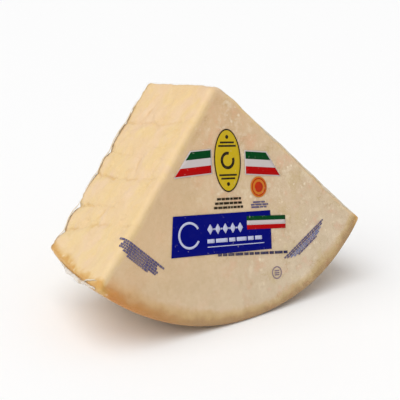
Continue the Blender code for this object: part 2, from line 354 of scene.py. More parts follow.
def turn(start, end, share):
    """A direction on the quarter turn from start to end."""
    angle = share * pi / 2
    return start * cos(angle) + end * sin(angle)


def outline_point(key, depth, skin):
    """Place and outward direction, both in X and Z, and the marks of cracks there."""
    kind, strip, share = key
    radius = rind_radius(depth)
    ridge = ridge_point(depth)
    corner_round = left_rind_round(depth)
    left_end = radius - corner_round
    right_radius = radius + rind_swell(1.0)
    right_reach = sqrt(right_radius * right_radius - ridge.length_squared)
    right_end = right_reach - RIGHT_RIND_ROUND
    top_round = ridge_round(depth)
    left_start = top_round - ridge.length
    if kind == "ridge":
        out = turn(RIGHT_OUT, LEFT_OUT, share)
        centre = ridge + top_round * (LEFT_DOWN + RIGHT_DOWN)
        crown = left_crown(left_start, left_end, depth) * share * share
        return centre + top_round * out + LEFT_OUT * crown, out, NO_MARKS
    if kind == "left":
        down = strip_radius(LEFT_STEPS, strip, share, depth, left_start, left_end)
        relief = step_relief(LEFT_STEPS, down, depth, skin["soft"])
        relief += break_relief(down, depth, skin["soft"]) + left_crown(down, left_end, depth)
        marks = crack_marks(LEFT_STEPS, down, depth) if skin["grain"] else NO_MARKS
        return LEFT_DOWN * down + LEFT_OUT * relief, LEFT_OUT, marks
    if kind == "left corner":
        out = turn(LEFT_OUT, LEFT_DOWN, share)
        centre = LEFT_DOWN * left_end - LEFT_OUT * corner_round
        return centre + corner_round * out, out, NO_MARKS
    if kind == "right corner":
        out = turn(RIGHT_DOWN, RIGHT_OUT, share)
        centre = ridge + RIGHT_DOWN * right_end - RIGHT_OUT * RIGHT_RIND_ROUND
        return centre + RIGHT_RIND_ROUND * out, out, NO_MARKS
    if kind == "right":
        down = strip_radius(RIGHT_STEPS, strip, share, depth, top_round, right_end)
        relief = step_relief(RIGHT_STEPS, down, depth, skin["soft"])
        marks = crack_marks(RIGHT_STEPS, down, depth) if skin["grain"] else NO_MARKS
        return ridge + RIGHT_DOWN * down + RIGHT_OUT * relief, RIGHT_OUT, marks
    left_angle = -HALF_ANGLE + asin(corner_round / radius)
    right_angle = HALF_ANGLE + asin((ridge.length - RIGHT_RIND_ROUND) / right_radius)
    angle = left_angle + share * (right_angle - left_angle)
    out = Vector((sin(angle), -cos(angle)))
    return (radius + rind_swell(share)) * out, out, NO_MARKS


def face_round(key, tip_radius, radius):
    """Radius of a split face's edge, which sharpens over the last strip to its tip."""
    kind, strip, share = key
    if strip < len(STEPS[kind]):
        return radius
    return blend(tip_radius, radius, (1 - share) / TIP_STRIP)


def front_round(key):
    """Radius of the front edge: wide along the left face, sharp along the right one."""
    kind, strip, share = key
    if kind == "ridge":
        return blend(FRONT_ROUND_RIDGE, FRONT_ROUND_LEFT, share)
    if kind == "left":
        return face_round(key, FRONT_ROUND_CORNER, FRONT_ROUND_LEFT)
    if kind == "left corner":
        return blend(FRONT_ROUND_CORNER, FRONT_ROUND_RIND, share)
    if kind == "rind":
        return blend(TIP_ROUND, FRONT_ROUND_RIND, (1 - share) / TIP_SHARE)
    if kind == "right corner":
        return TIP_ROUND
    if strip == 0:
        return blend(FRONT_ROUND_RIDGE, FRONT_ROUND_RIGHT, share / TIP_STRIP)
    return face_round(key, TIP_ROUND, FRONT_ROUND_RIGHT)


def back_round(key):
    """Radius of the back edge: wider along the rind's rim, sharper at both tips."""
    kind, share = key[0], key[2]
    if kind == "left":
        return face_round(key, BACK_ROUND_CORNER, BACK_ROUND)
    if kind == "left corner":
        return BACK_ROUND_CORNER
    if kind == "rind":
        first = blend(BACK_ROUND_CORNER, BACK_ROUND_RIND, share / TIP_SHARE)
        return blend(TIP_ROUND, first, (1 - share) / TIP_SHARE)
    if kind == "right corner":
        return TIP_ROUND
    if kind == "right":
        return face_round(key, TIP_ROUND, BACK_ROUND)
    return BACK_ROUND


def split_share(key):
    """How much of the split faces' wave a point has: none at their ends."""
    kind, strip, share = key
    if kind not in ("left", "right"):
        return 0.0
    last = len(STEPS[kind])
    from_start = share if strip == 0 else 1.0
    from_end = 1 - share if strip == last else 1.0
    return blend(0.0, 1.0, min(from_start, from_end) / WAVE_STRIP)


# ---- grain of the cheese

def facet(point, size):
    """A patchwork of flat, tilted flakes, from 0 to 1."""
    place = Vector((point.x, point.y * FACET_STRETCH, point.z)) / size
    middle = noise.voronoi(place)[1][0]
    tilt = 2 * noise.cell_vector(middle * CELL_SPREAD) - Vector((1.0, 1.0, 1.0))
    level = 0.5 + FACET_LEVEL * tilt.x + FACET_TILT * (place - middle).dot(tilt)
    return min(max(level, 0.0), 1.0)


def split_grain(point, broken):
    """Flakes, chips and crumbs of a split face: how far they lie inside it, in metres."""
    flake = 0.5 + 0.5 * noise.fractal(point / FLAKE_SIZE, *FLAKE_NOISE)
    chipped = min(max(CHIP_EDGE * noise.noise(point / CHIP_GATHER), broken, 0.0), 1.0)
    crumb = min(1.0, noise.voronoi(point / CRUMB_SIZE)[0][0] * CRUMB_FILL)
    inside = FLAKE_HEIGHT * max(0.0, flake) + FACET_HEIGHT * facet(point, FACET_SIZE)
    return inside + CHIP_HEIGHT * chipped * facet(point, CHIP_SIZE) + CRUMB_HEIGHT * crumb


def flake_share(key, depth):
    """How much of its flakes and chips a point has: none on the rind and its edges, and
    few along the sawn edge."""
    kind, strip, share = key
    if kind not in ("left", "right", "ridge"):
        return 0.0
    open_share = blend(SAWN_FLAKES, 1.0, depth / SAWN_RUN)
    if kind == "ridge" or strip < len(STEPS[kind]):
        return open_share
    return open_share * blend(0.0, 1.0, (1 - share) / GRAIN_STRIP)


def rind_grain(point):
    """Fine pits and shallow hollows of the rind."""
    pits = max(0.0, noise.noise(point / PIT_SIZE))
    hollows = 0.5 + 0.5 * noise.noise(point / HOLLOW_SIZE)
    return RIND_PITS * (PIT_SHARE * pits + HOLLOW_SHARE * hollows)


def saw_grain(point):
    """Long shallow marks of the saw on the front face."""
    across = Vector((point.x * SAW_STRETCH, point.y, point.z)) / SAW_SIZE
    return SAW_HEIGHT * (0.5 + 0.5 * noise.noise(across))


# ---- the two skins

def split_look(key):
    """1 where the cheese looks split, fading to 0 on the rind."""
    kind, share = key[0], key[2]
    if kind != "rind":
        return 1.0
    return blend(1.0, 0.0, min(share, 1 - share) / SPLIT_FADE)


def side_vertex(key, depth, inset, skin):
    """A point of the wedge's side with its marks: (place, split, (cleft, broken))."""
    place, out, marks = outline_point(key, depth, skin)
    here = (place.x, depth, place.y)
    split = split_share(key)
    bump = split * (wave(here, SPLIT_WAVE_SIZE, SPLIT_WAVE) + wave(here, CHIP_WAVE_SIZE, CHIP_WAVE))
    bump += (1 - split) * wave(here, SMOOTH_WAVE_SIZE, SMOOTH_WAVE)
    flat = place + out * (bump - inset - skin["sink"])
    if skin["grain"]:
        point = Vector((flat.x, depth, flat.y))
        flakes = flake_share(key, depth)
        grain = (1 - flakes) * rind_grain(point)
        if flakes > 0:
            grain += flakes * split_grain(point, marks[1])
        open_side = 1 - inset / max(front_round(key), back_round(key))
        flat -= out * (grain * open_side + CLEFT_DEPTH * marks[0])
    return Vector((flat.x, depth, flat.y)), split_look(key), marks


def edge_ring(keys, share, at_back, skin):
    """A ring on the rounded edge of the front or the back: share is 0 at the face's rim,
    and 1 where the edge meets the sides."""
    angle = share * pi / 2
    ring = []
    for key in keys:
        radius = back_round(key) if at_back else front_round(key)
        depth = radius * (1 - cos(angle))
        inset = radius * (1 - sin(angle))
        ring.append(side_vertex(key, SLAB_DEPTH - depth if at_back else depth, inset, skin))
    return ring


def side_rings(keys, skin):
    """Rings from the front face's rim, over its rounded edge, to the back's rim."""
    shares = [i / skin["round"] for i in range(skin["round"] + 1)]
    rings = [edge_ring(keys, share, False, skin) for share in shares]
    for share in between(skin["depth"]):
        ring = []
        for key in keys:
            first, last = front_round(key), SLAB_DEPTH - back_round(key)
            ring.append(side_vertex(key, first + share * (last - first), 0.0, skin))
        rings.append(ring)
    return rings + [edge_ring(keys, share, True, skin) for share in reversed(shares)]


def cap_vertex(x, z, share, depth, skin):
    """A point of the front or back face; share is 0 in its middle and 1 at its rim."""
    inward = 1.0 if depth == 0.0 else -1.0
    bump = wave((x, depth, z), SMOOTH_WAVE_SIZE, SMOOTH_WAVE) * (1 - share ** CAP_WAVE_POWER)
    sink = skin["sink"]
    if skin["grain"]:
        point = Vector((x, depth, z))
        grain = saw_grain(point) if depth == 0.0 else rind_grain(point)
        sink += grain * min(1.0, CAP_GRAIN_FADE * (1 - share))
    return Vector((x, depth + bump + inward * sink, z)), 0.0, NO_MARKS


def cap_rings(rim, depth, skin):
    """Rings from the middle of the front or back face out to its rim."""
    rings = []
    for step in between(skin["cap"]):
        share = step ** CAP_CROWDING
        ring = []
        for vertex in rim:
            corner = vertex[0]
            x = CAP_CENTRE.x + share * (corner.x - CAP_CENTRE.x)
            z = CAP_CENTRE.y + share * (corner.z - CAP_CENTRE.y)
            ring.append(cap_vertex(x, z, share, depth, skin))
        rings.append(ring)
    return rings


def rim_distance(point):
    """How far a point of the cheese is from the wheel's rounded side, in millimetres."""
    depth = min(max(point.y, 0.0), SLAB_DEPTH)
    share = min(max(0.5 + atan2(point.x, -point.z) / (2 * HALF_ANGLE), 0.0), 1.0)
    from_side = rind_radius(depth) + rind_swell(share) - hypot(point.x, point.z)
    return max(0.0, from_side) / MM


def back_distance(point):
    """How far a point of the cheese is from the wheel's flat side, in millimetres."""
    return max(0.0, SLAB_DEPTH - point.y) / MM


def stood(place, lowest):
    """Into the part's frame, and up onto the flat spot where it would go below."""
    place = WHEEL @ place
    place.z = max(place.z, lowest)
    return place


def sunk_ring(ring, shift):
    """A rim ring moved along the wheel's axis."""
    return [(place + Vector((0.0, shift, 0.0)), split, marks) for place, split, marks in ring]


def skin_faces(rows, count):
    """Quads between rings, and a fan in the middle of each cap."""
    faces = []
    for row in range(rows - 1):
        for i in range(count):
            j = (i + 1) % count
            a, b = row * count, (row + 1) * count
            faces.append((a + i, b + i, b + j, a + j))
    last, hub = (rows - 1) * count, rows * count
    for i in range(count):
        j = (i + 1) % count
        faces.append((i, j, hub))
        faces.append((last + j, last + i, hub + 1))
    return faces


def vertex_marks(point):
    """What the materials read at a point of the cheese."""
    place, split, marks = point
    return {
        "rim": rim_distance(place),
        "back": back_distance(place),
        "split": split,
        "cleft": marks[0],
        "broken": marks[1],
    }


def skin_object(name, skin, material):
    """One closed skin of the wedge as an object in the part's frame."""
    keys = outline_keys(skin)
    sides = side_rings(keys, skin)
    sides[0] = sunk_ring(sides[0], skin["sink"])
    sides[-1] = sunk_ring(sides[-1], -skin["sink"])
    front = cap_rings(sides[0], 0.0, skin)
    back = cap_rings(sides[-1], SLAB_DEPTH, skin)
    rings = front + sides + back[::-1]
    points = [point for ring in rings for point in ring]
    for depth in (0.0, SLAB_DEPTH):
        points.append(cap_vertex(CAP_CENTRE.x, CAP_CENTRE.y, 0.0, depth, skin))
    verts = [stood(point[0], skin["sink"]) for point in points]
    mesh = new_mesh(name, verts, skin_faces(len(rings), len(keys)))
    if skin["grain"]:
        values = [vertex_marks(point) for point in points]
        for mark in values[0]:
            numbers = [value[mark] for value in values]
            mesh.attributes.new(mark, "FLOAT", "POINT").data.foreach_set("value", numbers)
    return placed(name, mesh, material)


def linked(name, data):
    """A new object in the scene, of a mesh, a light or a camera."""
    thing = bpy.data.objects.new(name, data)
    bpy.context.scene.collection.objects.link(thing)
    return thing


def placed(name, mesh, material):
    """An object of this mesh, shaded smooth, in the scene."""
    mesh.shade_smooth()
    mesh.update()
    mesh.materials.append(material)
    return linked(name, mesh)


def new_mesh(name, verts, faces):
    """A mesh of these points and faces."""
    mesh = bpy.data.meshes.new(name)
    mesh.from_pydata(verts, [], faces)
    return mesh


# ---- materials

# Numbers in the calls below: noise() takes its scale, detail and roughness, scaled()
# the two ends of a range and what they become, and patches() takes both.

def linear(red, green, blue):
    """An sRGB colour, 0 to 255, as the linear colour that shaders take."""
    def channel(value):
        value /= 255.0
        return value / 12.92 if value <= 0.04045 else ((value + 0.055) / 1.055) ** 2.4
    return (channel(red), channel(green), channel(blue), 1.0)


def shade(red, green, blue):
    """A linear colour that multiplies another."""
    return (red, green, blue, 1.0)


MIX_A, MIX_B, MIX_RESULT = 6, 7, 2  # the colour sockets of a Mix node


class Shader:
    """A material's node tree, with short calls for the nodes that are used here."""

    def __init__(self, name, roughness, colour=(0.8, 0.8, 0.8, 1.0)):
        self.material = bpy.data.materials.new(name)
        self.material.use_nodes = True
        self.tree = self.material.node_tree
        self.main = self.tree.nodes["Principled BSDF"]
        self.set("Roughness", roughness)
        self.set("Base Color", colour)
        self.place = self.tree.nodes.new("ShaderNodeTexCoord").outputs["Object"]

    def put(self, socket, value):
        """Links or sets one input."""
        if isinstance(value, bpy.types.NodeSocket):
            self.tree.links.new(value, socket)
        else:
            socket.default_value = value

    def set(self, name, value):
        """One of the material's own inputs."""
        self.put(self.main.inputs[name], value)

    def node(self, kind, inputs, output=0, **settings):
        """One output of a new node with these inputs and settings."""
        node = self.tree.nodes.new("ShaderNode" + kind)
        for name, value in settings.items():
            setattr(node, name, value)
        for name, value in inputs.items():
            self.put(node.inputs[name], value)
        return node.outputs[output]

    def noise(self, scale, detail, rough=0.55):
        """Noise with features 1/scale metres across."""
        return self.node("TexNoise", {
            "Vector": self.place, "Scale": scale, "Detail": detail, "Roughness": rough}, "Fac")

    def spots(self, scale, share, stray=0.003):
        """Scattered, irregular spots: this share of cells, 1/scale metres wide, has one."""
        bend = self.node("TexNoise", {"Vector": self.place, "Scale": scale * 1.2}, "Color")
        place = self.node("VectorMath", {0: bend, 1: (stray, stray, stray), 2: self.place},
                          operation="MULTIPLY_ADD")
        away = self.node("TexVoronoi", {"Vector": place, "Scale": scale}, "Distance")
        draw = self.node("SeparateColor", {"Color": away.node.outputs["Color"]}, "Red")
        size = self.scaled(draw, 1 - share, 1.0, 0.0, 0.42)
        return self.scaled(self.maths("SUBTRACT", away, size), -0.20, 0.03, 1.0, 0.0)

    def along(self, axis):
        """The place along one axis, in metres."""
        return self.node("SeparateXYZ", {"Vector": self.place}, axis)

    def nearness(self, point, reach):
        """1 at a point of the part's frame, falling to 0 at this distance from it."""
        away = self.node("VectorMath", {0: self.place, 1: point}, "Value", operation="DISTANCE")
        return self.scaled(away, 0.3 * reach, reach, 1.0, 0.0)

    def mark(self, name):
        """A value that the mesh carries at each vertex."""
        return self.node("Attribute", {}, "Fac", attribute_name=name)

    def ramp(self, value, stops):
        """Colours along a value: each stop is its position, red, green and blue."""
        node = self.tree.nodes.new("ShaderNodeValToRGB")
        line = node.color_ramp
        for element, stop in ((line.elements[0], stops[0]), (line.elements[1], stops[-1])):
            element.position, element.color = stop[0], shade(*stop[1:])
        for stop in stops[1:-1]:
            line.elements.new(stop[0]).color = shade(*stop[1:])
        self.put(node.inputs["Fac"], value)
        return node.outputs["Color"]

    def scaled(self, value, low, high, to_low=0.0, to_high=1.0):
        """Maps low to high onto to_low to to_high, held there."""
        return self.node("MapRange", {
            "Value": value, "From Min": low, "From Max": high, "To Min": to_low, "To Max": to_high})

    def patches(self, shape, low, high, to_low=0.0, to_high=1.0):
        """Patches of noise of this shape: its scale, detail and roughness."""
        return self.scaled(self.noise(*shape), low, high, to_low, to_high)

    def maths(self, how, a, b):
        """Arithmetic of two values."""
        return self.node("Math", {0: a, 1: b}, operation=how)

    def product(self, a, b):
        """Two values multiplied."""
        return self.maths("MULTIPLY", a, b)

    def most(self, a, b):
        """The larger of two values."""
        return self.maths("MAXIMUM", a, b)

    def mix(self, share, a, b, how="MIX"):
        """Two colours mixed."""
        return self.node("Mix", {"Factor": share, MIX_A: a, MIX_B: b}, MIX_RESULT,
                         data_type="RGBA", blend_type=how)

    def times(self, share, colour, factor):
        """A colour multiplied by another, as far as share says."""
        return self.mix(share, colour, factor, "MULTIPLY")

    def bump(self, height, distance, strength):
        """Fine relief: height is a value, distance its depth in metres."""
        self.set("Normal", self.node("Bump", {
            "Strength": strength, "Distance": distance, "Height": height}, "Normal"))


WHITE = (1.0, 1.0, 1.0, 1.0)
SPLIT_COLOUR = linear(228, 197, 150)
SPLIT_ROSY = linear(229, 198, 161)
SPLIT_SUNNY = linear(229, 199, 147)
SAWN_COLOUR = linear(225, 202, 171)
PALE_CURD = linear(249, 234, 209)
CRUST_DARK = linear(190, 146, 88)  # of the wheel's rounded side
CRUST_LIGHT = linear(214, 180, 124)
FLAT_DARK = linear(190, 162, 118)  # and of its flat side
FLAT_LIGHT = linear(213, 190, 148)

# Tints of the sawn face and the split faces, which multiply a colour.
SAWN_WARM = shade(1.02, 0.91, 0.76)  # at the upper left
SAWN_TOP = shade(1.02, 0.97, 0.92)
SAWN_LOW = shade(0.99, 1.04, 1.10)
SAWN_CLOUD = shade(0.93, 0.92, 0.89)
SAWN_FLECK = shade(0.945, 0.925, 0.875)
# Painted shade in thin cracks of the sawn face.
SAWN_CRACK_SHADE = shade(0.84, 0.76, 0.64)
SPLIT_SOFT = shade(0.98, 0.96, 0.925)
# Painted shade on the broken strip beside each cleft.
SPLIT_CREASE_SHADE = shade(0.955, 0.935, 0.86)
SPLIT_LOW = shade(1.01, 1.035, 1.05)
SPLIT_HIGH = shade(0.99, 0.955, 0.90)
# Painted shade in the clefts at the foot of the steps.
CLEFT_SHADE = shade(0.84, 0.75, 0.57)

# Tints along a value: its value, red, green and blue.
ROSY_TO_STRAW = (
    (0.34, 1.04, 0.90, 0.88), (0.46, 1.0, 1.0, 1.0), (0.53, 1.01, 1.01, 1.01),
    (0.66, 0.94, 0.925, 0.80),
)

# Places where curd grains gather most on the sawn face: right and up from the wheel's
# axis, and how far they reach, all in millimetres.
CLUMPS = (
    (1.0, -37.0, 9.0), (8.0, -17.0, 11.0), (69.0, -84.0, 17.0),
    (71.0, -104.0, 12.0), (112.0, -122.0, 15.0), (56.0, -170.0, 8.0),
    (56.0, -183.0, 6.0), (27.0, -188.5, 9.0), (84.0, -158.0, 12.0),
    (116.0, -142.0, 9.0), (36.0, -58.0, 10.0),
)


def liveliness(s):
    """How many marks the sawn face shows: few at its lower left, most at the right."""
    lifted = s.product(s.along("Z"), 0.35)
    return s.scaled(s.maths("ADD", s.along("X"), lifted), -0.02, 0.035, 0.22, 1.0)


def near_clumps(s):
    """1 in the places where curd grains gather most, falling to 0 round them."""
    clumps = 0.0
    for right, up, reach in CLUMPS:
        clump = s.nearness(WHEEL @ Vector((right * MM, 0.0, up * MM)), reach * MM)
        clumps = s.most(clumps, clump)
    return clumps


def pale_marks(s, split):
    """How pale each place is: curd grains and crystals, gathered in clumps."""
    grains = s.most(s.spots(230.0, 0.36), s.product(s.spots(430.0, 0.34), 0.75))
    blotch = s.product(s.patches((105.0, 6.0, 0.70), 0.51, 0.66), 0.75)
    gather = s.product(s.patches((40.0, 2.0), 0.42, 0.57, 0.10, 0.75), liveliness(s))
    clumps = near_clumps(s)
    marks = s.product(s.most(grains, blotch), s.most(gather, clumps))
    streaks = s.product(s.spots(165.0, 0.30, 0.004), clumps)
    marks = s.most(marks, s.product(streaks, 0.7))
    return s.product(marks, s.maths("SUBTRACT", 1.0, s.product(split, 0.75)))


def thin_crack_shade(s):
    """Painted shade of short thin cracks in the sawn face, which have no relief of their own."""
    away = s.maths("ABSOLUTE", s.maths("SUBTRACT", s.noise(85.0, 3.0, 0.6), 0.5), 0.0)
    lines = s.scaled(away, 0.0, 0.022, 1.0, 0.0)
    some = s.patches((60.0, 2.0), 0.50, 0.60)
    return s.product(s.product(lines, some), liveliness(s))


def sawn_body(s):
    """The sawn face: warmer at the upper left, with rosy and straw patches, and thin cracks in
    painted shade.
    """
    to_right = s.maths("SUBTRACT", s.along("X"), s.product(s.along("Z"), 0.55))
    body = s.times(s.scaled(to_right, -0.15, 0.05, 1.0, 0.0), SAWN_COLOUR, SAWN_WARM)
    body = s.times(s.scaled(s.along("Z"), 0.135, 0.175), body, SAWN_TOP)
    body = s.times(liveliness(s), body, s.ramp(s.noise(52.0, 3.0, 0.6), ROSY_TO_STRAW))
    body = s.times(s.patches((30.0, 5.0, 0.6), 0.38, 0.62), body, SAWN_CLOUD)
    body = s.times(s.scaled(s.along("Z"), 0.02, 0.09, 1.0, 0.0), body, SAWN_LOW)
    body = s.times(s.patches((260.0, 5.0, 0.7), 0.38, 0.62, 0.0, 0.9), body, SAWN_FLECK)
    return s.times(s.product(thin_crack_shade(s), 0.8), body, SAWN_CRACK_SHADE)


def split_body(s):
    """The split faces: rosy and sunny patches, painted shade on the broken strip beside the clefts,
    and paler chips there.
    """
    body = s.mix(s.patches((27.0, 3.0), 0.42, 0.58), SPLIT_COLOUR, SPLIT_ROSY)
    body = s.mix(s.patches((38.0, 4.0, 0.6), 0.46, 0.60), body, SPLIT_SUNNY)
    body = s.times(s.patches((95.0, 4.0, 0.6), 0.40, 0.62), body, SPLIT_SOFT)
    crease_shade = s.product(s.mark("broken"), s.patches((75.0, 3.0), 0.38, 0.58))
    body = s.times(crease_shade, body, SPLIT_CREASE_SHADE)
    high = s.scaled(s.along("Z"), 0.04, 0.18)
    body = s.times(high, s.times(1.0, body, SPLIT_LOW), SPLIT_HIGH)
    chips = s.product(s.spots(280.0, 0.5), s.scaled(s.mark("broken"), 0.1, 0.6, 0.0, 0.6))
    return s.mix(chips, body, PALE_CURD)


def ragged(s, distance, width, amount):
    """A distance from an edge as a share of a width, with an uneven inner line."""
    coarse = s.patches((34.0, 3.0), 0.3, 0.7, -amount, amount)
    fine = s.patches((150.0, 3.0), 0.3, 0.7, -amount / 2, amount / 2)
    return s.maths("ADD", s.maths("DIVIDE", distance, width), s.maths("ADD", coarse, fine))


# Tints of the rims: the share of a rim's width, from the rind inward, and red, green
# and blue.
ORANGE_RIM = (
    (0.0, 0.80, 0.42, 0.10), (0.17, 0.82, 0.44, 0.10), (0.26, 0.85, 0.49, 0.14),
    (0.35, 0.86, 0.56, 0.25), (0.43, 0.87, 0.63, 0.38), (0.50, 0.90, 0.71, 0.49),
    (0.58, 0.95, 0.78, 0.61), (0.71, 0.985, 0.89, 0.78), (0.86, 0.99, 0.95, 0.90),
    (1.0, 1.0, 1.0, 1.0),
)
# Towards the bottom and right the rim is browner, and its first stops hold painted shade of the
# rounded edge, which turns down from the light.
BROWN_RIM_AND_SHADE = (
    (0.0, 0.56, 0.42, 0.26), (0.25, 0.60, 0.47, 0.30), (0.37, 0.66, 0.52, 0.33),
    (0.50, 0.78, 0.66, 0.44), (0.62, 0.86, 0.76, 0.56), (0.74, 0.91, 0.83, 0.66),
    (0.87, 0.97, 0.92, 0.85), (1.0, 1.0, 1.0, 1.0),
)
GOLD_RIM = (
    (0.0, 0.83, 0.68, 0.36), (0.14, 0.79, 0.58, 0.22), (0.40, 0.79, 0.57, 0.20),
    (0.54, 0.87, 0.73, 0.42), (0.74, 0.95, 0.89, 0.74), (1.0, 1.0, 1.0, 1.0),
)
# Along the wheel's flat side: a greyer band of painted shade, where the rounded back edge turns
# from the light, with the film gathered thicker over it.
BACK_EDGE_SHADE = (
    (0.0, 0.66, 0.65, 0.60), (0.45, 0.76, 0.75, 0.70), (0.75, 0.93, 0.91, 0.86),
    (1.0, 1.0, 1.0, 1.0),
)


def sawn_rim(s, rim):
    """The golden rim of the sawn face: orange at the left, browner to the right, where painted
    shade darkens its rounded outer edge.
    """
    x = s.along("X")
    width = s.maths("ADD", s.scaled(x, -0.130, -0.040, 22.5, 15.0),
                    s.scaled(x, -0.146, -0.130, 7.5, 0.0))
    band = ragged(s, rim, width, 0.13)
    orange, brown_and_shade = s.ramp(band, ORANGE_RIM), s.ramp(band, BROWN_RIM_AND_SHADE)
    return s.mix(s.scaled(x, -0.14, -0.055), orange, brown_and_shade)


def split_rim(s, rim, back):
    """The golden rim of a split face, and a thin, greyer band of painted shade at the wheel's flat
    side, where the rounded back edge turns from the light.
    """
    gold = s.ramp(ragged(s, rim, 13.0, 0.34), GOLD_RIM)
    return s.times(1.0, gold, s.ramp(ragged(s, back, 6.0, 0.16), BACK_EDGE_SHADE))


def rim_flecks(s, split, rim):
    """Pale crumbs in the golden band of the split faces."""
    near = s.scaled(rim, 2.0, 11.0, 1.0, 0.0)
    return s.product(s.product(near, s.spots(260.0, 0.34)), split)


def with_crust(s, body, rim, back, split):
    """The body colour, and the crust where the wheel's own outside shows."""
    mottle = s.patches((55.0, 5.0, 0.65), 0.35, 0.65)
    flat_side = s.scaled(back, 0.05, 0.7, 1.0, 0.0)
    body = s.mix(flat_side, body, s.mix(mottle, FLAT_DARK, FLAT_LIGHT))
    edge = s.product(s.scaled(s.most(rim, back), 3.5, 6.0, 1.0, 0.0),
                     s.maths("SUBTRACT", 1.0, split))
    crust = s.most(edge, s.scaled(rim, 0.05, 0.7, 1.0, 0.0))
    return s.mix(crust, body, s.mix(mottle, CRUST_DARK, CRUST_LIGHT))


def cheese_material():
    """Pale straw cheese: warm where split, duller where sawn, golden towards the rind."""
    s = Shader("cheese", 0.46)
    split, rim, back = s.mark("split"), s.mark("rim"), s.mark("back")
    body = s.mix(split, sawn_body(s), split_body(s))
    body = s.mix(s.product(pale_marks(s, split), 0.85), body, PALE_CURD)
    body = s.times(1.0, body, s.mix(split, sawn_rim(s, rim), split_rim(s, rim, back)))
    body = s.mix(s.product(rim_flecks(s, split, rim), 0.7), body, PALE_CURD)
    body = with_crust(s, body, rim, back, split)
    # Painted shade in the clefts at the foot of each step, as deep as the cleft mark says.
    deep = s.scaled(s.mark("cleft"), 0.06, 0.65, 0.0, 0.75)
    s.set("Base Color", s.times(deep, body, CLEFT_SHADE))
    s.set("Specular IOR Level", 0.3)
    fine = s.maths("ADD", s.noise(900.0, 3.0), s.product(s.noise(260.0, 3.0), 2.0))
    s.bump(fine, 0.00025, 0.6)
    return s.material


def film_material():
    """Clear film, drawn tight."""
    s = Shader("clear film", 0.20, linear(240, 232, 220))
    s.set("Alpha", 0.05)
    s.set("Specular IOR Level", 0.4)
    s.bump(s.noise(70.0, 3.0), 0.0010, 0.4)
    return s.material


def spare_film_material(name, opacity, light, dark):
    """Film that is folded on itself: whitish, and duller where it clings."""
    s = Shader(name, 0.26)
    s.set("Base Color", s.mix(s.patches((190.0, 3.0), 0.46, 0.64), light, dark))
    s.set("Alpha", opacity)
    s.bump(s.noise(420.0, 3.0), 0.0006, 0.6)
    return s.material


PAINTED_GLINT_INK = linear(226, 216, 206)  # painted highlights of the film: small pale spots on the ink
THIN_INK = linear(206, 184, 156)  # of thin ink, where the cheese shows through


def ink_material(name, colour, wear):
    """Ink on the film, a little uneven where it lies thin, with small painted highlights of the
    film.
    """
    s = Shader(name, 0.42)
    s.set("Specular IOR Level", 0.04)
    body = s.mix(s.patches((420.0, 3.0), 0.45, 0.75, 0.0, wear), colour, THIN_INK)
    body = s.mix(s.patches((60.0, 2.0), 0.45, 0.7, 0.0, wear), body, THIN_INK)
    painted_glints = s.product(s.patches((330.0, 2.0, 0.6), 0.66, 0.72, 0.0, 0.22),
                       s.patches((70.0, 2.0), 0.48, 0.56))
    s.set("Base Color", s.mix(painted_glints, body, PAINTED_GLINT_INK))
    return s.material


# ---- print on the film

PRINT_TILT = radians(8.0)   # the print sits a little askew on the wedge
PRINT_CENTRE = Vector((0.9, -68.3))  # middle of the badge, in mm from the axis
PRINT_LIFT = 0.00007        # the lowest ink stands this far off the film
LAYER_LIFT = 0.00007        # and each ink over another this much further
INK_THICKNESS = 0.00005
PRINT_STEP = 3.0            # mm between a shape's points
RING_POINTS = 37            # along each side of a ring with a gap
LONGEST_EDGE = 1.4          # times PRINT_STEP, inside a shape
SHORTEST_BAR = 0.6          # share of the shortest bar that a line may end with

INKS = {
    "white": (linear(206, 196, 195), 0.08),
    "green": (linear(0, 68, 28), 0.005),
    "red": (linear(180, 4, 6), 0.006),
    "ember": (linear(188, 44, 8), 0.02),
    "blue": (linear(0, 8, 116), 0.003),
    "yellow": (linear(204, 174, 28), 0.04),
    "dark": (linear(40, 32, 18), 0.04),
    "orange": (linear(206, 120, 38), 0.04),
    "pale": (linear(196, 200, 226), 0.06),
    "violet": (linear(92, 86, 126), 0.15),
    "navy": (linear(52, 50, 84), 0.12),
    "steel": (linear(122, 130, 176), 0.20),
    "faint": (linear(140, 122, 138), 0.20),
}


def print_to_wheel(point):
    """From the print's own millimetres to X and Z in the wheel's frame, in metres."""
    u, v = point
    x = PRINT_CENTRE.x + u * cos(PRINT_TILT) + v * sin(PRINT_TILT)
    z = PRINT_CENTRE.y - u * sin(PRINT_TILT) + v * cos(PRINT_TILT)
    return x * MM, z * MM


def left_edge_to_wheel(point):
    """From (inward, along) the front's left edge, in millimetres, to X and Z in metres."""
    inward, along = point
    place = (LEFT_DOWN * along - LEFT_OUT * inward) * MM
    return place.x, place.y


def slab(left, right, top, bottom, slope=0.0, left_cut=0.0, right_cut=0.0):
    """A four-sided field. Its lines rise by slope to the right, and its ends lean: each
    cut is how much further out the bottom corner lies."""
    corners = ((left, top), (left - left_cut, bottom), (right + right_cut, bottom), (right, top))
    return [(u, v + slope * u) for u, v in corners]


def oval(u, v, half_width, half_height, points=40, start=0.0, sweep=2 * pi):
    """An oval outline, or with a sweep of less than a turn, an arc of one."""
    return [(u + half_width * cos(start + sweep * i / points),
             v + half_height * sin(start + sweep * i / points)) for i in range(points)]


def cut_ring(u, v, outer, inner, gap_start, gap):
    """A ring with a gap in it, like a wheel with a wedge taken out."""
    sweep = (2 * pi - gap) * RING_POINTS / (RING_POINTS - 1)
    outside, inside = [oval(u, v, radius, radius, RING_POINTS, gap_start + gap, sweep)
                       for radius in (outer, inner)]
    return outside + inside[::-1]


